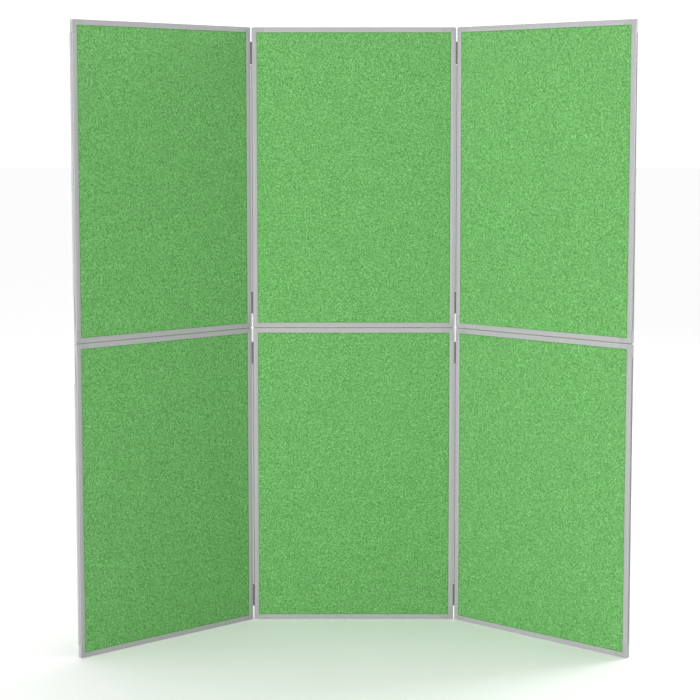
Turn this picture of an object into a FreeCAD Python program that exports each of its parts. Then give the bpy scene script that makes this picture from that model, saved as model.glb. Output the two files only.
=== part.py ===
import FreeCAD, Part
import math
import os

# A free-standing folding display screen: six framed fabric boards, three columns by two rows.
# The side columns (wings) stand folded forward. X right, Y back, Z up, millimetres.

# ---- driving dimensions -------------------------------------------------------------------
PANEL_W = 612.0          # one framed board, outside
PANEL_H = 903.0
THICK = 14.0             # frame, front face to back face
FACE = 15.0              # width of the frame seen from the front
COLUMN_GAP = 2.4         # between the stiles of two columns when the screen is flat
ROW_GAP = 0.8            # between a lower and an upper panel
WING_ANGLE = 40.0        # how far forward the wings stand

WALL = 1.5               # skin of the frame profile
EDGE_R = 1.5             # outer edges of the profile
LIP_R = 0.4              # small edges of the profile
LIP_W = 6.0              # the faces slope down to the board over this width
LIP_DROP = 0.8
CORNER_R = 4.5           # panel corner, seen from the front
CORNER_LEG = 38.0        # length of each leg of a corner piece
SEAM = 0.15              # gap between a corner piece and a profile
SLOT_FLOOR = 6.5         # board slot, from the outer edge of the frame
GROOVE_MOUTH = 3.6       # keying groove along the outer edge
GROOVE_W = 8.0
GROOVE_FLOOR = 5.0
KEY_PLAY = 0.2           # keys and tongues stand this far off the groove
TONGUE_LEN = 18.0        # corner piece tongue inside the profile's groove

CORE_T = 9.0             # foam board
FABRIC_T = 0.9           # cloth on each side of it
BOARD_PLAY = 0.5         # from the edge of the board to the floor of its slot

PIN_PROUD = 1.2          # side hinge axes stand this far off the faces
MID_PIN_PROUD = 0.2      # mid hinges are shallower, so that a wing still folds flat over them
PIN_R = 0.95
PIN_PLAY = 0.05          # running fit of a pin in its knuckles
BARREL_R = 2.0
BARREL_PLAY = 0.3        # from a knuckle to anything that turns around it
KNUCKLES = 5
KNUCKLE_PLAY = 0.2       # along the pin, between knuckles
LEAF_T = 1.0
LINK_T = 1.6
LEAF_REACH = 5.5         # a leaf ends this far past the middle of the thickness
SIDE_HINGE_LEN = 67.0
SIDE_HINGE_OFFSET = 43.0     # from the end of a panel to its hinge
SIDE_KEY_LEN = 27.0
MID_HINGE_LEN = 60.0
MID_HINGE_X = 180.0      # mid hinges, left and right of the middle
MID_KEY_LEN = 30.0

JOINT_LIP = 1.9          # how far a seal strip stands out where two columns meet
JOINT_LIP_W = 11.4
NOSE_R = 2.0             # its bead lies along the front hinge line and closes the joint
NOSE_WEB = (0.4, 1.7)    # the web that carries the bead, out from the stile
EDGE_LIP = 4.0           # and on the free left edge
EDGE_LIP_W = 9.0
SEAL_ROOT_INSET = 20.0   # the root of a strip is shorter than its lip at each end
JOINT_SEAL = (112.0, 791.0)      # ends of the strip, above the bottom of its panel
LOWER_EDGE_SEAL = (42.0, 789.0)
UPPER_EDGE_SEAL = (133.0, 864.0)

# ---- worked out ---------------------------------------------------------------------------
HALF_T = THICK / 2
SLOT_HALF = HALF_T - WALL
PIN_Y = HALF_T + PIN_PROUD
MID_PIN_Y = HALF_T + MID_PIN_PROUD
SWEEP_R = BARREL_R + BARREL_PLAY
JOINT_X = PANEL_W / 2 + COLUMN_GAP / 2
ROW_Z = {"lower": 0.0, "upper": PANEL_H + ROW_GAP}
MID_PIN_Z = PANEL_H + ROW_GAP / 2
HINGE_Z = (SIDE_HINGE_OFFSET, PANEL_H - SIDE_HINGE_OFFSET - SIDE_HINGE_LEN)
SIDES = {"left": -1, "right": 1}

X_AXIS = FreeCAD.Vector(1, 0, 0)
Y_AXIS = FreeCAD.Vector(0, 1, 0)
Z_AXIS = FreeCAD.Vector(0, 0, 1)
ORIGIN = FreeCAD.Vector(0, 0, 0)


# ---- small helpers ------------------------------------------------------------------------
def block(low, high):
    """A box between two corners."""
    size = [b - a for a, b in zip(low, high)]
    return Part.makeBox(*size, FreeCAD.Vector(*low))


def rod(radius, span, x, y):
    low, high = span
    return Part.makeCylinder(radius, high - low, FreeCAD.Vector(x, y, low))


def moved(shape, x=0.0, y=0.0, z=0.0):
    copy = shape.copy()
    copy.translate(FreeCAD.Vector(x, y, z))
    return copy


def turned(shape, axis, degrees, about=ORIGIN):
    copy = shape.copy()
    copy.rotate(about, axis, degrees)
    return copy


def joined(shapes):
    return shapes[0].fuse(shapes[1:]).removeSplitter()


def group(shapes):
    """Separate solids that share one node."""
    return Part.makeCompound(shapes)


def rounded_face(corners):
    """A flat face from (x, y, radius) corners: straight edges with tangent arcs."""
    edges = []
    starts = []
    ends = []
    count = len(corners)
    points = [FreeCAD.Vector(x, y, 0) for x, y, _ in corners]
    for i, (_, _, radius) in enumerate(corners):
        here = points[i]
        back = (points[i - 1] - here).normalize()
        ahead = (points[(i + 1) % count] - here).normalize()
        if radius == 0:
            starts.append(here)
            ends.append(here)
            continue
        half = back.getAngle(ahead) / 2
        reach = radius / math.tan(half)
        first = here + back * reach
        last = here + ahead * reach
        bisector = (back + ahead).normalize()
        middle = here + bisector * (radius / math.sin(half) - radius)
        edges.append((i, Part.Arc(first, middle, last).toShape()))
        starts.append(first)
        ends.append(last)
    arcs = dict(edges)
    path = []
    for i in range(count):
        if i in arcs:
            path.append(arcs[i])
        after = starts[(i + 1) % count]
        if (after - ends[i]).Length > 1e-6:
            path.append(Part.makeLine(ends[i], after))
    return Part.Face(Part.Wire(path))


# ---- frame --------------------------------------------------------------------------------
def profile(length):
    """Frame profile along +Z. Its outer edge is at x=0 and it opens for the board at x=FACE."""
    mouth = GROOVE_MOUTH / 2
    groove = GROOVE_W / 2
    outer_groove = [
        (0, -mouth, LIP_R / 2), (WALL, -mouth, 0), (WALL, -groove, 0),
        (GROOVE_FLOOR, -groove, 0), (GROOVE_FLOOR, groove, 0), (WALL, groove, 0),
        (WALL, mouth, 0), (0, mouth, LIP_R / 2),
    ]
    return profile_prism(length, outer_groove)


def profile_prism(length, outer_groove):
    """Section of the frame: rounded outer edges, sloping lips and the board slot."""
    flat = FACE - LIP_W
    low = HALF_T - LIP_DROP
    section = [(0, -HALF_T, EDGE_R)] + outer_groove + [
        (0, HALF_T, EDGE_R), (flat, HALF_T, LIP_W / 2), (FACE, low, LIP_R / 2),
        (FACE, SLOT_HALF, LIP_R / 2), (SLOT_FLOOR, SLOT_HALF, 0), (SLOT_FLOOR, -SLOT_HALF, 0),
        (FACE, -SLOT_HALF, LIP_R / 2), (FACE, -low, LIP_R / 2), (flat, -HALF_T, LIP_W / 2),
    ]
    return rounded_face(section).extrude(FreeCAD.Vector(0, 0, length))


def corner_piece():
    """Moulded corner for the bottom left: two mitred legs, rounded outside, and two tongues."""
    outline = [
        (0, 0, CORNER_R), (CORNER_LEG, 0, 0), (CORNER_LEG, FACE, 0),
        (FACE, FACE, LIP_R), (FACE, CORNER_LEG, 0), (0, CORNER_LEG, 0),
    ]
    plate = rounded_face(outline).extrude(FreeCAD.Vector(0, 0, THICK))
    plate.rotate(ORIGIN, X_AXIS, 90)
    plate.translate(FreeCAD.Vector(0, HALF_T, 0))
    outer = []
    for edge in plate.Edges:
        box = edge.BoundBox
        on_face = box.YLength < 1e-6
        on_outline = box.XMax < CORNER_R + 1e-6 or box.ZMax < CORNER_R + 1e-6
        if on_face and on_outline:
            outer.append(edge)
    plate = plate.makeFillet(EDGE_R, outer)
    upright = mitred_leg()
    level = turned(turned(upright, Y_AXIS, 90), X_AXIS, 180)
    legs = upright.fuse(level).removeSplitter()
    low = WALL + KEY_PLAY
    high = GROOVE_FLOOR - KEY_PLAY
    half = GROOVE_W / 2 - KEY_PLAY
    root = CORNER_LEG - 1
    tip = CORNER_LEG + TONGUE_LEN
    along_x = block((root, -half, low), (tip, half, high))
    along_z = block((low, -half, root), (high, half, tip))
    return joined([plate.common(legs), along_x, along_z])


def mitred_leg():
    """Upright leg of a corner piece, cut at 45 degrees through the panel's corner."""
    leg = profile_prism(CORNER_LEG, [])
    points = [FreeCAD.Vector(0, -THICK, 0), FreeCAD.Vector(FACE + 1, -THICK, 0),
              FreeCAD.Vector(FACE + 1, -THICK, FACE + 1), FreeCAD.Vector(0, -THICK, 0)]
    wedge = Part.Face(Part.makePolygon(points)).extrude(FreeCAD.Vector(0, 2 * THICK, 0))
    return leg.cut(wedge)


def four_corners():
    piece = corner_piece()
    return [
        piece,
        moved(turned(piece, Z_AXIS, 180), x=PANEL_W),
        moved(turned(piece, X_AXIS, 180), z=PANEL_H),
        moved(turned(piece, Y_AXIS, 180), x=PANEL_W, z=PANEL_H),
    ]


def stiles():
    end = CORNER_LEG + SEAM
    upright = profile(PANEL_H - 2 * end)
    return [moved(upright, z=end), moved(turned(upright, Z_AXIS, 180), x=PANEL_W, z=end)]


def rails():
    end = CORNER_LEG + SEAM
    level = profile(PANEL_W - 2 * end)
    bottom = moved(turned(level, Y_AXIS, -90), x=PANEL_W - end)
    top = moved(turned(level, Y_AXIS, 90), x=end, z=PANEL_H)
    return [bottom, top]


# ---- board --------------------------------------------------------------------------------
def board_layer(y_low, y_high):
    edge = SLOT_FLOOR + BOARD_PLAY
    return block((edge, y_low, edge), (PANEL_W - edge, y_high, PANEL_H - edge))


def board():
    half = CORE_T / 2
    return {
        "board_core": board_layer(-half, half),
        "front_fabric": board_layer(-half - FABRIC_T, -half),
        "back_fabric": board_layer(half, half + FABRIC_T),
    }


# ---- seal strip ---------------------------------------------------------------------------
def seal_strip(ends, lip, lip_width, nose=False):
    """Strip for a left edge: a rounded lip outside, a neck and a T root in the groove."""
    low, high = ends
    half = lip_width / 2
    crown = min(lip, half) * 0.8
    neck = GROOVE_MOUTH / 2 - KEY_PLAY
    root = GROOVE_W / 2 - 2 * KEY_PLAY
    face = rounded_face([(-lip, -half, crown), (0, -half, 0), (0, half, 0), (-lip, half, crown)])
    outside = [moved(face.extrude(FreeCAD.Vector(0, 0, high - low)), z=low)]
    if nose:
        near, far = NOSE_WEB
        outside.append(block((-far, -PIN_Y, low), (-near, -half + crown, high)))
        outside.append(rod(NOSE_R, ends, -COLUMN_GAP / 2, -PIN_Y))
    low += SEAL_ROOT_INSET
    high -= SEAL_ROOT_INSET
    stem = block((-lip / 4, -neck, low), (WALL + 1, neck, high))
    head = block((WALL + KEY_PLAY, -root, low), (WALL + 1.4, root, high))
    return joined(outside + [stem, head])


# ---- hinges -------------------------------------------------------------------------------
# A two-way hinge is made around the middle of the column gap (x=0, y=0), from z=0 upwards.
# Its front pin is at y=-PIN_Y and its back pin at y=+PIN_Y. A leaf is also used alone, as
# half of a plain hinge.
def knuckle_spans(length, odd):
    """Ends of the knuckles along the pin: the first, third and fifth, or the others."""
    pitch = length / KNUCKLES
    first = 0 if odd else 1
    spans = []
    for i in range(first, KNUCKLES, 2):
        low = i * pitch + (KNUCKLE_PLAY / 2 if i > 0 else 0)
        high = (i + 1) * pitch - (KNUCKLE_PLAY / 2 if i < KNUCKLES - 1 else 0)
        spans.append((low, high))
    return spans


def sweep_clearance(length, odd, y):
    """Room around a pin for the other leaf's knuckles."""
    room = []
    for low, high in knuckle_spans(length, odd):
        span = (low - KNUCKLE_PLAY, high + KNUCKLE_PLAY)
        room.append(rod(SWEEP_R, span, 0, y))
    return room


def hinge_leaf(length, half_gap, pin_y, key_length, odd=True):
    """Leaf on the -X side of the gap, with its knuckles on the front pin."""
    outside = -half_gap - LEAF_T
    plate = block((outside, -pin_y, 0), (-half_gap, LEAF_REACH, length))
    plate = plate.cut(sweep_clearance(length, not odd, -pin_y))
    barrels = [rod(BARREL_R, span, 0, -pin_y) for span in knuckle_spans(length, odd)]
    low = (length - key_length) / 2
    high = (length + key_length) / 2
    neck = GROOVE_MOUTH / 2 - KEY_PLAY
    head = GROOVE_W / 2 - KEY_PLAY
    inner = -half_gap - GROOVE_FLOOR + KEY_PLAY
    stem = block((inner, -neck, low), (outside + 0.1, neck, high))
    key = block((inner, -head, low), (-half_gap - WALL - KEY_PLAY, head, high))
    bore = rod(PIN_R + PIN_PLAY, (-1, length + 1), 0, -pin_y)
    return joined([plate] + barrels + [stem, key]).cut(bore)


def hinge_link(length):
    """Middle plate of a two-way hinge, with knuckles on both pins."""
    half = LINK_T / 2
    plate = block((-half, -PIN_Y, 0), (half, PIN_Y, length))
    barrels = []
    bores = []
    room = []
    for y in (-PIN_Y, PIN_Y):
        barrels += [rod(BARREL_R, span, 0, y) for span in knuckle_spans(length, odd=False)]
        bores.append(rod(PIN_R + PIN_PLAY, (-1, length + 1), 0, y))
        room += sweep_clearance(length, True, y)
    return joined([plate.cut(room)] + barrels).cut(bores)


def hinge_pin(length, y):
    span = (0.3, length - 0.3)
    return rod(PIN_R, span, 0, y)


def stile_pocket(side):
    """What a hinged edge loses to its hinges; side is -1 for a left edge, 1 for a right one."""
    edge = 0.0 if side < 0 else PANEL_W
    middle = edge + side * COLUMN_GAP / 2
    inner = edge - side * (LEAF_T + 0.05)
    outer = edge + side * 1.0
    cuts = []
    for z in HINGE_Z:
        low = z - KNUCKLE_PLAY
        high = z + SIDE_HINGE_LEN + KNUCKLE_PLAY
        x_low = min(inner, outer)
        x_high = max(inner, outer)
        cuts.append(block((x_low, -HALF_T - 1, low), (x_high, HALF_T + 1, high)))
        for y in (-PIN_Y, PIN_Y):
            cuts.append(rod(SWEEP_R, (low, high), middle, y))
    return cuts


def rail_pocket(z_edge, up):
    """What a rail at the mid joint loses to the mid hinges; up is 1 for the upper panel."""
    cuts = []
    middle = z_edge - up * ROW_GAP / 2
    inner = z_edge + up * (LEAF_T + 0.05)
    outer = z_edge - up * 1.0
    z_low = min(inner, outer)
    z_high = max(inner, outer)
    half = MID_HINGE_LEN / 2 + KNUCKLE_PLAY
    for x in mid_hinge_places():
        cuts.append(block((x - half, -LEAF_REACH - 0.2, z_low), (x + half, HALF_T + 1, z_high)))
        start = FreeCAD.Vector(x - half, MID_PIN_Y, middle)
        cuts.append(Part.makeCylinder(SWEEP_R, 2 * half, start, X_AXIS))
    return cuts


def mid_hinge_places():
    """Middles of the mid hinges across a panel."""
    return [PANEL_W / 2 - MID_HINGE_X, PANEL_W / 2 + MID_HINGE_X]


# ---- one panel ----------------------------------------------------------------------------
def panel(row, column):
    """Pieces of one panel, with its bottom left corner at x=0, z=0."""
    pieces = board()
    uprights = stiles()
    levels = rails()
    if column != "left":
        uprights[0] = uprights[0].cut(stile_pocket(-1))
    if column != "right":
        uprights[1] = uprights[1].cut(stile_pocket(1))
    if column == "centre" and row == "lower":
        levels[1] = levels[1].cut(rail_pocket(PANEL_H, -1))
    if column == "centre" and row == "upper":
        levels[0] = levels[0].cut(rail_pocket(0.0, 1))
    pieces["stiles"] = group(uprights)
    pieces["rails"] = group(levels)
    pieces["corner_pieces"] = group(four_corners())
    if column != "left":
        pieces["seal_strip"] = seal_strip(JOINT_SEAL, JOINT_LIP, JOINT_LIP_W, nose=True)
    elif row == "lower":
        pieces["seal_strip"] = seal_strip(LOWER_EDGE_SEAL, EDGE_LIP, EDGE_LIP_W)
    else:
        pieces["seal_strip"] = seal_strip(UPPER_EDGE_SEAL, EDGE_LIP, EDGE_LIP_W)
    return pieces


# ---- assembly -----------------------------------------------------------------------------
def fold_forward(shape, side):
    """Turn a wing piece from flat to where it stands, about its front pins."""
    pin = FreeCAD.Vector(side * JOINT_X, -PIN_Y, 0)
    return turned(shape, Z_AXIS, -side * WING_ANGLE, pin)


def at_joint(shape, side, z):
    """Put a hinge piece in the gap beside the centre column; the left side is mirrored."""
    placed = shape if side > 0 else shape.mirror(ORIGIN, X_AXIS)
    return moved(placed, x=side * JOINT_X, z=z)


def side_hinges(row, side):
    """The two two-way hinges of one wing: leaves on the centre panel and the wing, links, pins."""
    leaf = hinge_leaf(SIDE_HINGE_LEN, COLUMN_GAP / 2, PIN_Y, SIDE_KEY_LEN)
    wing_leaf = turned(leaf, Z_AXIS, 180)
    link = hinge_link(SIDE_HINGE_LEN)
    heights = [ROW_Z[row] + z for z in HINGE_Z]
    on_centre = [at_joint(leaf, side, z) for z in heights]
    on_wing = [fold_forward(at_joint(wing_leaf, side, z), side) for z in heights]
    links = [fold_forward(at_joint(link, side, z), side) for z in heights]
    pins = []
    for z in heights:
        for y in (-PIN_Y, PIN_Y):
            pin = hinge_pin(SIDE_HINGE_LEN, y)
            pins.append(fold_forward(at_joint(pin, side, z), side))
    return on_centre, on_wing, links, pins


def mid_hinges():
    """Hinges between the centre panels: an X axis at the back, leaves flush in the rails."""
    half_gap = ROW_GAP / 2
    lower = hinge_leaf(MID_HINGE_LEN, half_gap, MID_PIN_Y, MID_KEY_LEN, odd=True)
    upper = hinge_leaf(MID_HINGE_LEN, half_gap, MID_PIN_Y, MID_KEY_LEN, odd=False)
    upper = upper.mirror(ORIGIN, X_AXIS)
    pin = hinge_pin(MID_HINGE_LEN, -MID_PIN_Y)
    sets = {"mid_hinge_lower_leaves": [], "mid_hinge_upper_leaves": [], "mid_hinge_pins": []}
    for x in mid_hinge_places():
        for name, shape in zip(sets, (lower, upper, pin)):
            # The pin line goes from +Z to X, the -X leaf to below and the front to the back.
            lying = turned(turned(shape, Y_AXIS, -90), Z_AXIS, 180)
            start = x - PANEL_W / 2 - MID_HINGE_LEN / 2
            sets[name].append(moved(lying, x=start, z=MID_PIN_Z))
    return {name: group(shapes) for name, shapes in sets.items()}


def assembly():
    """Every node, before the origin is set."""
    nodes = {}
    centre_leaves = {"lower": [], "upper": []}
    for row, z in ROW_Z.items():
        for name, shape in panel(row, "centre").items():
            nodes[row + "_centre_" + name] = moved(shape, x=-PANEL_W / 2, z=z)
        for column, side in SIDES.items():
            start = JOINT_X + COLUMN_GAP / 2 if side > 0 else -JOINT_X - COLUMN_GAP / 2 - PANEL_W
            prefix = row + "_" + column + "_"
            for name, shape in panel(row, column).items():
                nodes[prefix + name] = fold_forward(moved(shape, x=start, z=z), side)
            on_centre, on_wing, links, pins = side_hinges(row, side)
            centre_leaves[row] += on_centre
            nodes[prefix + "hinge_leaves"] = group(on_wing)
            nodes[prefix + "hinge_links"] = group(links)
            nodes[prefix + "hinge_pins"] = group(pins)
        nodes[row + "_centre_hinge_leaves"] = group(centre_leaves[row])
    nodes.update(mid_hinges())
    return nodes


def bottom_centre(nodes):
    """Middle of the whole screen's footprint, on the floor."""
    box = FreeCAD.BoundBox()
    for shape in nodes.values():
        box.add(shape.optimalBoundingBox(False))
    return FreeCAD.Vector(box.Center.x, box.Center.y, box.ZMin)


screen = assembly()
origin = bottom_centre(screen)
os.makedirs("parts", exist_ok=True)
for node_name, node_shape in screen.items():
    node_shape.translate(origin * -1)
    node_shape.exportStep("parts/" + node_name + ".step")
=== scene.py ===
import math

import bpy
import numpy as np
from mathutils import Euler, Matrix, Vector


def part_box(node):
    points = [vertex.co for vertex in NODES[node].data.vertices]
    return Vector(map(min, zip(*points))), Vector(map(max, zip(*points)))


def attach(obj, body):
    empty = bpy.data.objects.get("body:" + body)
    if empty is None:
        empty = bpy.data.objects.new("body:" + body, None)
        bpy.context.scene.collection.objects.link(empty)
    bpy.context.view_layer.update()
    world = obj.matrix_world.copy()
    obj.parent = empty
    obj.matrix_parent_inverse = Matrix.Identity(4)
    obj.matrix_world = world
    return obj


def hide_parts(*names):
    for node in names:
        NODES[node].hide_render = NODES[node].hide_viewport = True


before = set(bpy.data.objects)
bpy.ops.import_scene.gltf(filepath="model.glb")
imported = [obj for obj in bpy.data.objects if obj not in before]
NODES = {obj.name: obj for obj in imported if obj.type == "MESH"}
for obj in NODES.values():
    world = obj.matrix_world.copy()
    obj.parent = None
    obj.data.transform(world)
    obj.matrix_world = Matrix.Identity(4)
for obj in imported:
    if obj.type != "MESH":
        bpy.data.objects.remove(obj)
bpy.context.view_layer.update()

SCENE = bpy.context.scene

ROWS = ("lower", "upper")
COLUMNS = ("left", "centre", "right")
FACES = ("front", "back")

# Cloth, in metres
FRAME_COVER = 0.008      # the board goes this far under the frame's lips
PILE = 0.00042           # how far the loops stand proud of the pressed edge
PILE_RISE = 0.0035       # distance from the lip over which they recover
RIPPLE = 0.00016         # slow unevenness of the glued cloth
CELL = 0.009             # grid of the open field
EDGE_STEPS = (0.0, 0.004, 0.0078, 0.0084, 0.0092, 0.0102, 0.0116, 0.0140, 0.0180)
RIPPLE_LENGTHS = (0.34, 0.21, 0.13, 0.08)
FIRST_SEED = 11

# Camera, in metres and degrees
CAMERA_PLACE = (-0.011, -4.958, 1.508)
CAMERA_TILT = -5.1
CAMERA_LENS = 87.8
CAMERA_SHIFT = -0.10

# Lamps: place and size in metres, power in watts
AIM = (0.0, 0.0, 0.9)
KEY_PLACE = (-3.45, -4.73, 0.85)
KEY_SIZE = (2.8, 1.6)
KEY_POWER = 208.0
RIM_PLACE = (4.8, 2.3, 2.2)
RIM_SIZE = (2.4, 2.4)
RIM_POWER = 170.0

# Brightness of the studio, in front of the screen and behind it
ROOM_IN_FRONT = 0.68
ROOM_BEHIND = 1.20

# Floor
FLOOR_REACH = 60.0       # metres from the middle to each side
FLOOR_GLOW = 0.06        # keeps the far floor as pale as the room behind it


# ---- material building ----------------------------------------------------------------------
class Nodes:
    """Short calls for a node material."""

    def __init__(self, name):
        self.material = bpy.data.materials.new(name)
        self.material.use_nodes = True
        self.tree = self.material.node_tree
        self.shader = self.tree.nodes["Principled BSDF"]
        coordinates = self.tree.nodes.new("ShaderNodeTexCoord")
        self.place = coordinates.outputs["Object"]

    def link(self, source, target):
        self.tree.links.new(source, target)

    def stretched(self, scale):
        """The object's coordinates, scaled by axis."""
        node = self.tree.nodes.new("ShaderNodeMapping")
        node.inputs["Scale"].default_value = scale
        self.link(self.place, node.inputs["Vector"])
        return node.outputs["Vector"]

    def noise(self, scale, detail=2.0, rough=0.5, place=None, distortion=0.0):
        node = self.tree.nodes.new("ShaderNodeTexNoise")
        node.inputs["Scale"].default_value = scale
        node.inputs["Detail"].default_value = detail
        node.inputs["Roughness"].default_value = rough
        node.inputs["Distortion"].default_value = distortion
        self.link(place or self.place, node.inputs["Vector"])
        return node.outputs["Fac"]

    def cells(self, scale):
        node = self.tree.nodes.new("ShaderNodeTexVoronoi")
        node.inputs["Scale"].default_value = scale
        self.link(self.place, node.inputs["Vector"])
        return node.outputs["Distance"]

    def loops(self, scale, width, place):
        """Thin curved threads, 1 along each and 0 between them."""
        field = self.noise(scale, 1.2, 0.5, place, 1.1)
        off = self.maths("ABSOLUTE", self.maths("SUBTRACT", field, 0.5), 0.0)
        return self.remap(off, 0.0, width, 1.0, 0.0, "SMOOTHSTEP")

    def remap(self, value, low, high, to_low=0.0, to_high=1.0, kind="LINEAR"):
        node = self.tree.nodes.new("ShaderNodeMapRange")
        node.interpolation_type = kind
        node.inputs["From Min"].default_value = low
        node.inputs["From Max"].default_value = high
        node.inputs["To Min"].default_value = to_low
        node.inputs["To Max"].default_value = to_high
        self.link(value, node.inputs["Value"])
        return node.outputs["Result"]

    def mix(self, factor, first, second):
        """Colour from first to second; each is a colour or another node's output."""
        node = self.tree.nodes.new("ShaderNodeMix")
        node.data_type = "RGBA"
        self.link(factor, node.inputs["Factor"])
        for socket, value in ((node.inputs[6], first), (node.inputs[7], second)):
            if isinstance(value, tuple):
                socket.default_value = (*value, 1.0)
            else:
                self.link(value, socket)
        return node.outputs[2]

    def maths(self, operation, first, second):
        node = self.tree.nodes.new("ShaderNodeMath")
        node.operation = operation
        for socket, value in zip(node.inputs, (first, second)):
            if isinstance(value, float):
                socket.default_value = value
            else:
                self.link(value, socket)
        return node.outputs[0]

    def bump(self, height, depth, after=None):
        """Bump of this real depth, in metres; it can follow another bump."""
        node = self.tree.nodes.new("ShaderNodeBump")
        node.inputs["Distance"].default_value = depth
        self.link(height, node.inputs["Height"])
        if after:
            self.link(after, node.inputs["Normal"])
        self.link(node.outputs["Normal"], self.shader.inputs["Normal"])
        return node.outputs["Normal"]

    def colour(self, output):
        self.link(output, self.shader.inputs["Base Color"])

    def roughness(self, output):
        self.link(output, self.shader.inputs["Roughness"])

    def setting(self, name, value):
        """A value that is the same all over the surface."""
        self.shader.inputs[name].default_value = value


# ---- materials --------------------------------------------------------------------------------
def loop_cloth():
    """Green loop nylon: tangled pale loops over a darker ground, partly the yarn's tone and partly
    painted highlight and painted shade; darker under the frame, partly flattened pile and partly
    painted shade.
    """
    m = Nodes("loop_cloth")
    slanted = m.stretched((1.0, 1.0, 0.85))
    loops = m.loops(160.0, 0.080, slanted)
    curls = m.loops(290.0, 0.090, slanted)
    tangle = m.maths("MAXIMUM", loops, m.maths("MULTIPLY", curls, 0.85))
    depth = m.noise(215.0, 1.0, 0.6, slanted)
    fibres = m.noise(1500.0, 3.0, 0.7)
    clouds = m.noise(5.0, 2.0)
    pile = m.maths("ADD", m.maths("MULTIPLY", tangle, 0.5), m.remap(depth, 0.36, 0.64, 0.0, 0.5))
    # The pile's pale loop tops and darker ground: partly the yarn's own tone, partly painted
    # highlight on the loops and painted shade in the hollows between them.
    base = m.mix(pile, (0.053, 0.238, 0.035), (0.252, 0.620, 0.212))
    base = m.mix(m.remap(fibres, 0.30, 0.75, 0.0, 0.30), base, (0.085, 0.275, 0.066))
    base = m.mix(m.remap(clouds, 0.35, 0.65, 0.0, 0.10), base, (0.135, 0.360, 0.100))
    pressed_and_shade = m.tree.nodes.new("ShaderNodeAttribute")
    pressed_and_shade.attribute_name = "pressed_and_shade"
    # Darker along the frame's lip: partly flattened pile, partly painted shade from the lip.
    base = m.mix(m.remap(pressed_and_shade.outputs["Fac"], 0.0, 1.0, 0.0, 0.50), base, (0.060, 0.170, 0.045))
    m.colour(base)
    m.roughness(m.remap(pile, 0.0, 1.0, 1.0, 0.78))
    first = m.bump(pile, 0.0012)
    m.bump(fibres, 0.0002, first)
    m.setting("Specular IOR Level", 0.25)
    m.setting("Sheen Weight", 0.15)
    m.setting("Sheen Roughness", 0.55)
    m.setting("Sheen Tint", (0.70, 0.95, 0.65, 1.0))
    return m.material


def grey_plastic(name, along, colour, dull):
    """Satin grey profile: die lines along its length, soft clouding and a few scuffs."""
    m = Nodes(name)
    lines = m.noise(1.0, 3.0, 0.6, m.stretched(along))
    clouds = m.noise(14.0, 3.0)
    scuffs = m.noise(60.0, 6.0, 0.75, None, 1.5)
    darker = tuple(c * 0.90 for c in colour)
    lighter = tuple(min(1.0, c * 1.10) for c in colour)
    base = m.mix(m.remap(lines, 0.30, 0.70), darker, lighter)
    base = m.mix(m.remap(clouds, 0.30, 0.70, 0.0, 0.30), base, colour)
    base = m.mix(m.remap(scuffs, 0.66, 0.74, 0.0, 0.45), base, tuple(c * 0.72 for c in colour))
    m.colour(base)
    uneven = m.maths("ADD", m.remap(lines, 0.3, 0.7, 0.0, 0.10), m.remap(scuffs, 0.6, 0.7, 0.0, 0.14))
    m.roughness(m.maths("ADD", uneven, dull))
    first = m.bump(lines, 0.00005)
    m.bump(m.noise(2600.0, 2.0), 0.00002, first)
    m.setting("Specular IOR Level", 0.5)
    return m.material


def corner_plastic():
    """Moulded corners: fine spark texture, a little duller than the profile."""
    m = Nodes("corner_moulding")
    grain = m.noise(1900.0, 3.0, 0.6)
    clouds = m.noise(40.0, 3.0)
    rubs = m.noise(130.0, 5.0, 0.7, None, 1.0)
    base = m.mix(m.remap(clouds, 0.3, 0.7), (0.315, 0.317, 0.319), (0.365, 0.367, 0.369))
    base = m.mix(m.remap(grain, 0.35, 0.65, 0.0, 0.25), base, (0.270, 0.272, 0.275))
    base = m.mix(m.remap(rubs, 0.64, 0.72, 0.0, 0.5), base, (0.440, 0.442, 0.445))
    m.colour(base)
    m.roughness(m.remap(rubs, 0.35, 0.70, 0.48, 0.36))
    m.bump(grain, 0.00006)
    return m.material


def seal_rubber():
    """Soft light grey strip with fine lengthwise lines and a bloom of dust."""
    m = Nodes("seal_strip")
    lines = m.noise(1.0, 2.0, 0.5, m.stretched((1500.0, 1500.0, 7.0)))
    dust = m.noise(90.0, 5.0, 0.7)
    base = m.mix(m.remap(lines, 0.3, 0.7), (0.330, 0.326, 0.331), (0.390, 0.386, 0.391))
    base = m.mix(m.remap(dust, 0.45, 0.70, 0.0, 0.5), base, (0.430, 0.428, 0.422))
    m.colour(base)
    m.roughness(m.remap(dust, 0.3, 0.7, 0.58, 0.80))
    m.bump(lines, 0.00006)
    m.setting("Specular IOR Level", 0.35)
    return m.material


def grey_nylon():
    """Moulded dark grey nylon with a fine grain and paler worn patches."""
    m = Nodes("hinge_nylon")
    grain = m.noise(2400.0, 3.0, 0.6)
    wear = m.noise(220.0, 5.0, 0.7, None, 0.8)
    base = m.mix(m.remap(grain, 0.3, 0.7), (0.105, 0.102, 0.105), (0.140, 0.137, 0.140))
    base = m.mix(m.remap(wear, 0.60, 0.74, 0.0, 0.6), base, (0.200, 0.198, 0.200))
    m.colour(base)
    m.roughness(m.remap(wear, 0.3, 0.7, 0.38, 0.56))
    m.bump(grain, 0.00004)
    return m.material


def steel_wire():
    """Drawn steel: bright, with fine lines along the pin."""
    m = Nodes("hinge_pin")
    lines = m.noise(1.0, 3.0, 0.6, m.stretched((4000.0, 4000.0, 60.0)))
    stain = m.noise(300.0, 4.0)
    base = m.mix(m.remap(stain, 0.4, 0.7, 0.0, 0.6), (0.580, 0.575, 0.565), (0.430, 0.415, 0.400))
    m.colour(base)
    m.roughness(m.remap(lines, 0.3, 0.7, 0.22, 0.42))
    m.bump(lines, 0.00001)
    m.setting("Metallic", 1.0)
    return m.material


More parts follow.
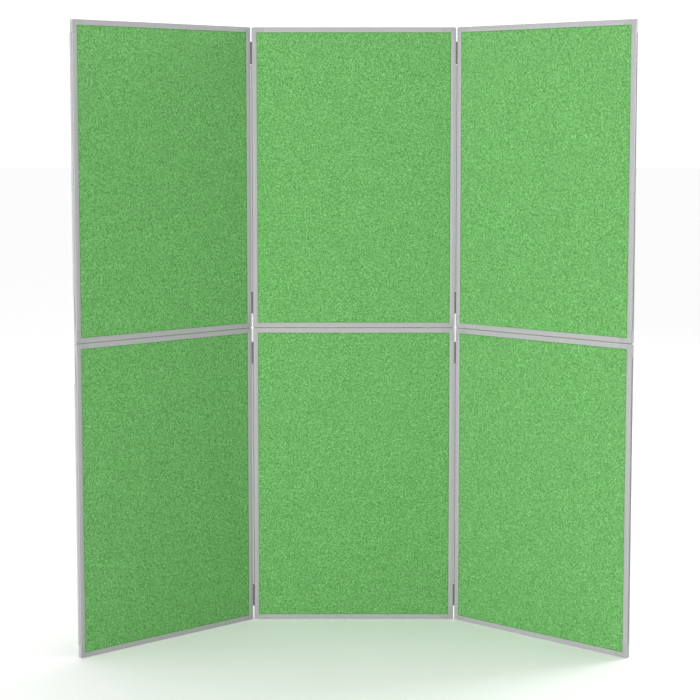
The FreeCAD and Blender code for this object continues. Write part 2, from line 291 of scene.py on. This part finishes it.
def cut_foam():
    """Pale rigid foam board with open cut cells."""
    m = Nodes("board_foam")
    pores = m.cells(900.0)
    tone = m.noise(25.0, 3.0)
    base = m.mix(m.remap(tone, 0.3, 0.7), (0.780, 0.760, 0.690), (0.860, 0.845, 0.790))
    # Painted shade: each open cell's hollow middle is painted darker.
    base = m.mix(m.remap(pores, 0.0, 0.25, 0.6, 0.0), base, (0.560, 0.530, 0.460))
    m.colour(base)
    m.roughness(m.remap(tone, 0.3, 0.7, 0.85, 0.98))
    m.bump(pores, 0.0003)
    return m.material


def dress_cad_nodes():
    """Each CAD node that shows gets its material."""
    grey = (0.354, 0.356, 0.358)
    finishes = {
        "stiles": grey_plastic("frame_upright", (1300.0, 1300.0, 5.0), grey, 0.34),
        "rails": grey_plastic("frame_level", (5.0, 5.0, 1300.0), grey, 0.34),
        "corner_pieces": corner_plastic(),
        "seal_strip": seal_rubber(),
        "leaves": grey_nylon(),
        "hinge_pins": steel_wire(),
        "board_core": cut_foam(),
    }
    finishes["hinge_links"] = finishes["leaves"]
    for name, node in NODES.items():
        for ending, material in finishes.items():
            if name.endswith(ending):
                node.data.materials.clear()
                node.data.materials.append(material)


# ---- cloth ------------------------------------------------------------------------------------
def plan_line(node):
    """Left and right ends of an upright slab's middle line, seen from above, and its thickness."""
    corners = {(round(v.co.x, 5), round(v.co.y, 5)) for v in NODES[node].data.vertices}
    points = sorted(corners)
    half = len(points) // 2
    ends = []
    for side in (points[:half], points[half:]):
        ends.append(Vector((sum(p[0] for p in side), sum(p[1] for p in side))) / half)
    first, last = Vector(points[0]), Vector(points[1])
    return ends[0], ends[1], (last - first).length


def grid_lines(length):
    """Places across the cloth: close together at both frame lips, even between them."""
    start = EDGE_STEPS[-1]
    count = round((length - 2 * start) / CELL)
    middle = np.linspace(start, length - start, count + 1)[1:-1]
    edge = np.array(EDGE_STEPS)
    return np.concatenate([edge, middle, (length - edge)[::-1]])


def pile_height(across, up, width, height, seed):
    """How far the cloth's face stands off its flattened edge, and how much its colour darkens at the
    lip: flattened pile and painted shade.
    """
    inside = np.minimum(np.minimum(across, width - across), np.minimum(up, height - up))
    clear = np.clip((inside - FRAME_COVER) / PILE_RISE, 0.0, 1.0)
    rise = clear * clear * (3.0 - 2.0 * clear)
    waves = np.zeros_like(across)
    random = np.random.default_rng(seed)
    for size in RIPPLE_LENGTHS:
        angle = random.uniform(0.0, math.pi)
        phase = random.uniform(0.0, 2.0 * math.pi)
        along = across * math.cos(angle) + up * math.sin(angle)
        sway = 0.3 * np.sin(2.0 * math.pi * (across - up) / (size * 2.7) + phase)
        waves += np.sin(2.0 * math.pi * along / size + phase + sway) * size
    return rise * (PILE + RIPPLE * waves), 1.0 - rise


def grid_points(start, along, out, offset, across, up):
    """The points of one side of the cloth, row by row."""
    x = start.x + along.x * across + out.x * offset
    y = start.y + along.y * across + out.y * offset
    return np.stack([x, y, start.z + up], axis=-1).reshape(-1, 3)


def side_quads(columns, rows, back):
    """Quads of the seen side, each with its twin on the glued side."""
    quads = []
    for j in range(rows - 1):
        for i in range(columns - 1):
            a = j * columns + i
            quad = (a, a + 1, a + columns + 1, a + columns)
            quads.append(quad)
            quads.append(tuple(back + q for q in reversed(quad)))
    return quads


def rim_quads(columns, rows, back):
    """Quads that close the cloth's cut edge all the way round."""
    rim = list(range(columns))
    rim += [j * columns + columns - 1 for j in range(1, rows)]
    rim += [(rows - 1) * columns + i for i in range(columns - 2, -1, -1)]
    rim += [j * columns for j in range(rows - 2, 0, -1)]
    return [(b, a, back + a, back + b) for a, b in zip(rim, rim[1:] + rim[:1])]


def new_object(name, points, faces):
    mesh = bpy.data.meshes.new(name)
    mesh.from_pydata(points, [], faces)
    made = bpy.data.objects.new(name, mesh)
    SCENE.collection.objects.link(made)
    return made


def cloth_face(panel, face, seed):
    """One face's cloth: a thin closed sheet whose edges are tucked under the frame's lips."""
    node = f"{panel}_{face}_fabric"
    left, right, thick = plan_line(node)
    core_left, core_right, _ = plan_line(f"{panel}_board_core")
    out = ((left + right) - (core_left + core_right)).normalized()
    along = (right - left).normalized()
    low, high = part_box(node)
    width, height = (right - left).length, high.z - low.z
    xs, zs = grid_lines(width), grid_lines(height)
    across, up = np.meshgrid(xs, zs)
    lift, pressed_and_shade = pile_height(across, up, width, height, seed)
    start = Vector((left.x, left.y, low.z))
    seen = grid_points(start, along, out, thick / 2 + lift, across, up)
    glued = grid_points(start, along, out, -thick / 2, across, up)
    faces = side_quads(len(xs), len(zs), len(seen)) + rim_quads(len(xs), len(zs), len(seen))
    if along.x * out.y - along.y * out.x > 0:
        faces = [quad[::-1] for quad in faces]
    cloth = new_object(f"{panel}_{face}_cloth", np.concatenate([seen, glued]).tolist(), faces)
    mesh = cloth.data
    mesh.polygons.foreach_set("use_smooth", [True] * len(mesh.polygons))
    # Darkening at the lip, flattened pile and painted shade, kept on each point for the cloth's
    # colour; the glued side takes the full amount.
    values = np.concatenate([pressed_and_shade.reshape(-1), np.ones(len(glued))])
    layer = mesh.attributes.new("pressed_and_shade", "FLOAT", "POINT")
    layer.data.foreach_set("value", values.astype(np.float32))
    return cloth, node, (width, height)


def dress_boards(material):
    seed = FIRST_SEED
    for row in ROWS:
        for column in COLUMNS:
            panel = f"{row}_{column}"
            body = panel if column == "centre" else f"{panel}_wing"
            for face in FACES:
                cloth, node, size = cloth_face(panel, face, seed)
                seed += 1
                cloth.data.materials.append(material)
                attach(cloth, body)
                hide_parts(node)


# ---- stage ------------------------------------------------------------------------------------
def floor():
    """A wide pale floor."""
    m = Nodes("studio_floor")
    tone = m.noise(3.0, 2.0)
    m.colour(m.mix(m.remap(tone, 0.3, 0.7), (0.94, 0.94, 0.94), (0.96, 0.96, 0.96)))
    m.roughness(m.remap(tone, 0.3, 0.7, 0.75, 0.85))
    m.setting("Emission Color", (1.0, 1.0, 1.0, 1.0))
    m.setting("Emission Strength", FLOOR_GLOW)
    near, far = -FLOOR_REACH, FLOOR_REACH
    corners = [(near, near, 0.0), (far, near, 0.0), (far, far, 0.0), (near, far, 0.0)]
    plane = new_object("studio_floor", corners, [(0, 1, 2, 3)])
    plane.data.materials.append(m.material)


def area_light(name, place, size, power):
    data = bpy.data.lights.new(name, "AREA")
    data.shape = "RECTANGLE"
    data.size, data.size_y = size
    data.energy = power
    lamp = bpy.data.objects.new(name, data)
    lamp.location = place
    direction = Vector(AIM) - Vector(place)
    lamp.rotation_euler = direction.to_track_quat("-Z", "Y").to_euler()
    SCENE.collection.objects.link(lamp)


def lights():
    """A low soft box at front left, a softer one at right behind, and a bright room behind."""
    area_light("key", KEY_PLACE, KEY_SIZE, KEY_POWER)
    area_light("rim", RIM_PLACE, RIM_SIZE, RIM_POWER)
    world = bpy.data.worlds.new("studio")
    world.use_nodes = True
    tree = world.node_tree
    direction = tree.nodes.new("ShaderNodeTexCoord")
    parts = tree.nodes.new("ShaderNodeSeparateXYZ")
    strength = tree.nodes.new("ShaderNodeMapRange")
    strength.inputs["From Min"].default_value = -1.0
    strength.inputs["To Min"].default_value = ROOM_IN_FRONT
    strength.inputs["To Max"].default_value = ROOM_BEHIND
    background = tree.nodes["Background"]
    background.inputs["Color"].default_value = (1.0, 1.0, 1.0, 1.0)
    tree.links.new(direction.outputs["Generated"], parts.inputs["Vector"])
    tree.links.new(parts.outputs["Y"], strength.inputs["Value"])
    tree.links.new(strength.outputs["Result"], background.inputs["Strength"])
    SCENE.world = world
    SCENE.view_settings.view_transform = "Standard"


def camera():
    data = bpy.data.cameras.new("camera")
    data.lens = CAMERA_LENS
    data.sensor_width = 36.0
    data.shift_y = CAMERA_SHIFT
    eye = bpy.data.objects.new("camera", data)
    eye.location = CAMERA_PLACE
    eye.rotation_euler = Euler((math.radians(90.0 + CAMERA_TILT), 0.0, 0.0))
    SCENE.collection.objects.link(eye)
    SCENE.camera = eye


camera()
floor()
lights()
dress_cad_nodes()
dress_boards(loop_cloth())
